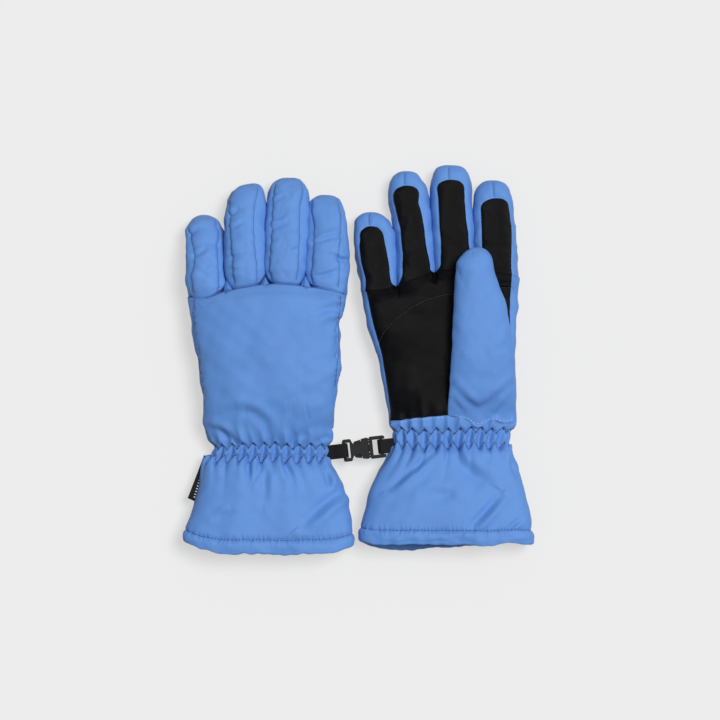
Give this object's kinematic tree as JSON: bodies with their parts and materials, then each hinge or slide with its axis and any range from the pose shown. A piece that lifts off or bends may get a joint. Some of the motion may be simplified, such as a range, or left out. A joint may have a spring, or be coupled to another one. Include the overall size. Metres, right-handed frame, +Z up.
{
  "type": "pair of ski gloves",
  "caption": "Pair of insulated ski gloves with gathered wrists and flared cuffs, one back up and one palm up, clipped together by a side-release buckle on short webbing loops.",
  "frame": {"origin": "centre of the pair's box, on the table that the gloves lie on", "axes": "+Z up from the table, +Y along the fingers, +X from the left glove to the right glove"},
  "size_m": [0.2483, 0.2723, 0.0438],
  "materials": {
    "shell_blue": "matt plain-weave outer fabric",
    "palm_black": "matt grip fabric",
    "lining_grey": "brushed lining",
    "cuff_lining_blue": "smooth lining",
    "wadding_white": "fibre wadding",
    "elastic_white": "woven elastic",
    "webbing_black": "narrow webbing",
    "label_black": "woven tab",
    "buckle_plastic": "moulded"
  },
  "bodies": {
    "left_hand": {"left_hand_back": "shell_blue", "left_palm_panel": "palm_black", "left_hand_wadding": "wadding_white", "left_hand_lining": "lining_grey", "left_finger_base_shells": "shell_blue", "left_finger_base_fronts": "palm_black", "left_finger_base_linings": "lining_grey", "left_wrist_band": "shell_blue", "left_wrist_elastic": "elastic_white", "left_strap": "webbing_black"},
    "left_pinky": {"left_pinky_shell": "shell_blue", "left_pinky_front": "palm_black", "left_pinky_lining": "lining_grey"},
    "left_ring": {"left_ring_shell": "shell_blue", "left_ring_front": "palm_black", "left_ring_lining": "lining_grey"},
    "left_middle": {"left_middle_shell": "shell_blue", "left_middle_front": "palm_black", "left_middle_lining": "lining_grey"},
    "left_index": {"left_index_shell": "shell_blue", "left_index_front": "palm_black", "left_index_lining": "lining_grey"},
    "left_thumb": {"left_thumb_shell": "shell_blue", "left_thumb_lining": "lining_grey"},
    "left_cuff": {"left_cuff_shell": "shell_blue", "left_cuff_hem": "shell_blue", "left_cuff_lining": "cuff_lining_blue", "left_label_tab": "label_black"},
    "right_hand": {"right_hand_back": "shell_blue", "right_palm_panel": "palm_black", "right_hand_wadding": "wadding_white", "right_hand_lining": "lining_grey", "right_finger_base_shells": "shell_blue", "right_finger_base_fronts": "palm_black", "right_finger_base_linings": "lining_grey", "right_wrist_band": "shell_blue", "right_wrist_elastic": "elastic_white", "right_strap": "webbing_black"},
    "right_pinky": {"right_pinky_shell": "shell_blue", "right_pinky_front": "palm_black", "right_pinky_lining": "lining_grey"},
    "right_ring": {"right_ring_shell": "shell_blue", "right_ring_front": "palm_black", "right_ring_lining": "lining_grey"},
    "right_middle": {"right_middle_shell": "shell_blue", "right_middle_front": "palm_black", "right_middle_lining": "lining_grey"},
    "right_index": {"right_index_shell": "shell_blue", "right_index_front": "palm_black", "right_index_lining": "lining_grey"},
    "right_thumb": {"right_thumb_shell": "shell_blue", "right_thumb_lining": "lining_grey"},
    "right_cuff": {"right_cuff_shell": "shell_blue", "right_cuff_hem": "shell_blue", "right_cuff_lining": "cuff_lining_blue"},
    "buckle_socket": {"buckle_socket": "buckle_plastic"},
    "buckle_plug": {"buckle_plug": "buckle_plastic"},
    "buckle_front_arm": {"buckle_front_arm": "buckle_plastic"},
    "buckle_rear_arm": {"buckle_rear_arm": "buckle_plastic"}
  },
  "joints": [
    {"name": "left_pinky_curl", "type": "hinge", "parent": "left_hand", "child": "left_pinky", "pos_m": [-0.10627, 0.07105, 0.01022], "axis": [-0.9994, -0.0349, 0], "range_deg": [0, 65], "stiffness_Nm_per_rad": 0.06},
    {"name": "left_ring_curl", "type": "hinge", "parent": "left_hand", "child": "left_ring", "pos_m": [-0.0777, 0.08064, 0.01507], "axis": [-1, -0.0087, 0], "range_deg": [0, 65], "stiffness_Nm_per_rad": 0.06},
    {"name": "left_middle_curl", "type": "hinge", "parent": "left_hand", "child": "left_middle", "pos_m": [-0.04893, 0.08064, 0.0175], "axis": [-0.9998, 0.0175, 0], "range_deg": [0, 65], "stiffness_Nm_per_rad": 0.06},
    {"name": "left_index_curl", "type": "hinge", "parent": "left_hand", "child": "left_index", "pos_m": [-0.02171, 0.08064, 0.0175], "axis": [-1, -0.0087, 0], "range_deg": [0, 65], "stiffness_Nm_per_rad": 0.06},
    {"name": "left_thumb_swing", "type": "hinge", "parent": "left_hand", "child": "left_thumb", "pos_m": [-0.01614, 0.00864, 0.01725], "axis": [0, -1, 0], "range_deg": [0, 100], "stiffness_Nm_per_rad": 0.06},
    {"name": "left_cuff_fold", "type": "hinge", "parent": "left_hand", "child": "left_cuff", "pos_m": [-0.06064, -0.06961, 0], "axis": [1, 0, 0], "range_deg": [0, 35], "stiffness_Nm_per_rad": 0.4},
    {"name": "right_pinky_curl", "type": "hinge", "parent": "right_hand", "child": "right_pinky", "pos_m": [0.0137, 0.07271, 0.02174], "axis": [0.9962, 0.0872, 0], "range_deg": [0, 65], "stiffness_Nm_per_rad": 0.06},
    {"name": "right_ring_curl", "type": "hinge", "parent": "right_hand", "child": "right_ring", "pos_m": [0.04111, 0.0854, 0.02227], "axis": [0.9962, 0.0872, 0], "range_deg": [0, 65], "stiffness_Nm_per_rad": 0.06},
    {"name": "right_middle_curl", "type": "hinge", "parent": "right_hand", "child": "right_middle", "pos_m": [0.07024, 0.0854, 0.02256], "axis": [0.9984, 0.0558, 0], "range_deg": [0, 65], "stiffness_Nm_per_rad": 0.06},
    {"name": "right_index_curl", "type": "hinge", "parent": "right_hand", "child": "right_index", "pos_m": [0.09823, 0.0854, 0.02215], "axis": [0.9984, 0.0558, 0], "range_deg": [0, 65], "stiffness_Nm_per_rad": 0.06},
    {"name": "right_thumb_swing", "type": "hinge", "parent": "right_hand", "child": "right_thumb", "pos_m": [0.11069, 0.0134, 0.0266], "axis": [0, 1, 0], "range_deg": [0, 100], "stiffness_Nm_per_rad": 0.06},
    {"name": "right_cuff_fold", "type": "hinge", "parent": "right_hand", "child": "right_cuff", "pos_m": [0.06619, -0.06485, 0.0245], "axis": [-1, 0, 0], "range_deg": [0, 35], "stiffness_Nm_per_rad": 0.4},
    {"name": "socket_swing", "type": "hinge", "parent": "left_hand", "child": "buckle_socket", "pos_m": [-0.01019, -0.06376, 0.0115], "axis": [0.1132, -0.9936, 0], "range_deg": [-30, 30]},
    {"name": "plug_slide", "type": "slide", "parent": "buckle_socket", "child": "buckle_plug", "axis": [0.9936, 0.1132, 0], "range_m": [0, 0.02], "deforming": ["buckle_rear_arm", "buckle_front_arm"]},
    {"name": "right_glove_swing", "type": "hinge", "parent": "buckle_plug", "child": "right_hand", "pos_m": [0.01574, -0.0608, 0.0115], "axis": [0.1132, -0.9936, 0], "range_deg": [-30, 30]},
    {"name": "rear_arm_squeeze", "type": "hinge", "parent": "buckle_plug", "child": "buckle_rear_arm", "pos_m": [0.00792, -0.05747, 0.0115], "axis": [0, 0, 1], "range_deg": [0, 9], "stiffness_Nm_per_rad": 0.05},
    {"name": "front_arm_squeeze", "type": "hinge", "parent": "buckle_plug", "child": "buckle_front_arm", "pos_m": [0.00887, -0.06581, 0.0115], "axis": [0, 0, -1], "range_deg": [0, 9], "stiffness_Nm_per_rad": 0.05}
  ],
  "couplings": [
    {"joint": "front_arm_squeeze", "follows": "rear_arm_squeeze", "ratio": 1}
  ]
}
